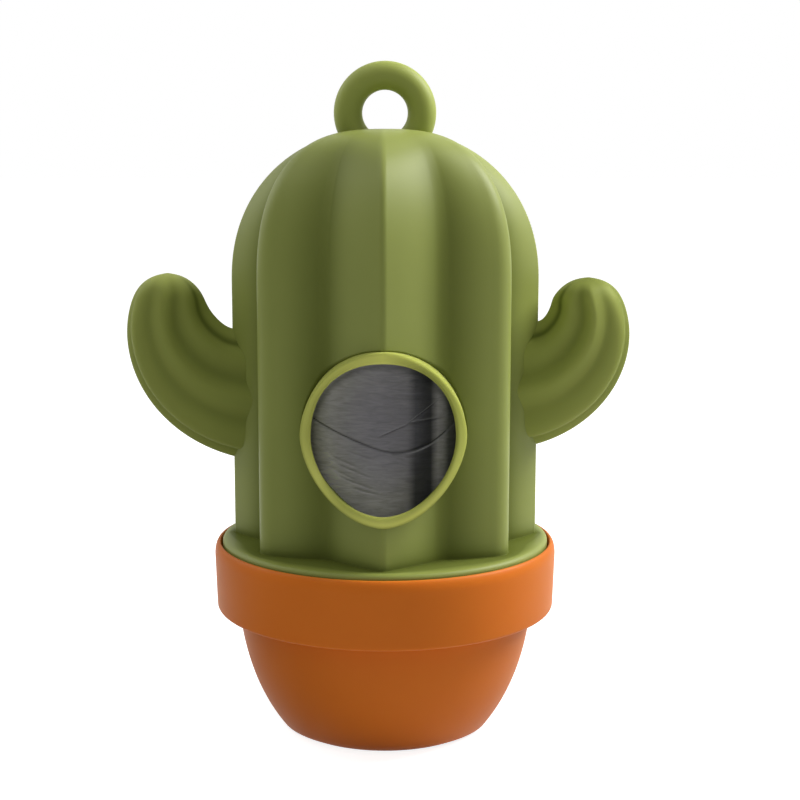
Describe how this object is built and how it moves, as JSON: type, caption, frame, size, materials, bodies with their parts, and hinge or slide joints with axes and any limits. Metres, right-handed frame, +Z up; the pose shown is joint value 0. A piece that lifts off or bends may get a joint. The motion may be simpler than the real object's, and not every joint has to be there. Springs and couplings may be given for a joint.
{
  "type": "dog poop bag dispenser",
  "caption": "Ribbed cactus shell with two arms, a front window and a hanging loop, plugged into a flower pot and holding a roll of bags.",
  "frame": {"origin": "centre of the pot's base, on the surface it stands on", "axes": "+Z up along the axis of pot, shell and roll; -Y is the front with the window; +X is the viewer's right"},
  "size_m": [0.0793, 0.0542, 0.1051],
  "materials": {
    "pot_silicone": "matte",
    "cactus_silicone": "matte",
    "ring_silicone": "matte",
    "core_card": "matte",
    "bag_film": "satin"
  },
  "bodies": {
    "pot": {"pot": "pot_silicone"},
    "cactus": {"cactus_body": "cactus_silicone", "left_arm": "cactus_silicone", "right_arm": "cactus_silicone", "hanging_loop": "cactus_silicone", "window_ring": "ring_silicone"},
    "roll": {"roll_core": "core_card", "bag_01": "bag_film", "bag_02": "bag_film", "bag_03": "bag_film", "bag_04": "bag_film", "bag_05": "bag_film", "bag_06": "bag_film", "bag_07": "bag_film", "bag_08": "bag_film", "bag_09": "bag_film", "bag_10": "bag_film", "bag_11": "bag_film", "bag_12": "bag_film", "bag_13": "bag_film", "bag_14": "bag_film", "bag_15": "bag_film"}
  },
  "joints": [
    {"name": "cactus_lift", "type": "slide", "parent": "pot", "child": "cactus", "axis": [0, 0, 1], "range_m": [0, 0.055]},
    {"name": "roll_spin", "type": "hinge", "parent": "pot", "child": "roll", "pos_m": [0, 0, 0.0045], "axis": [0, 0, 1], "continuous": true}
  ]
}
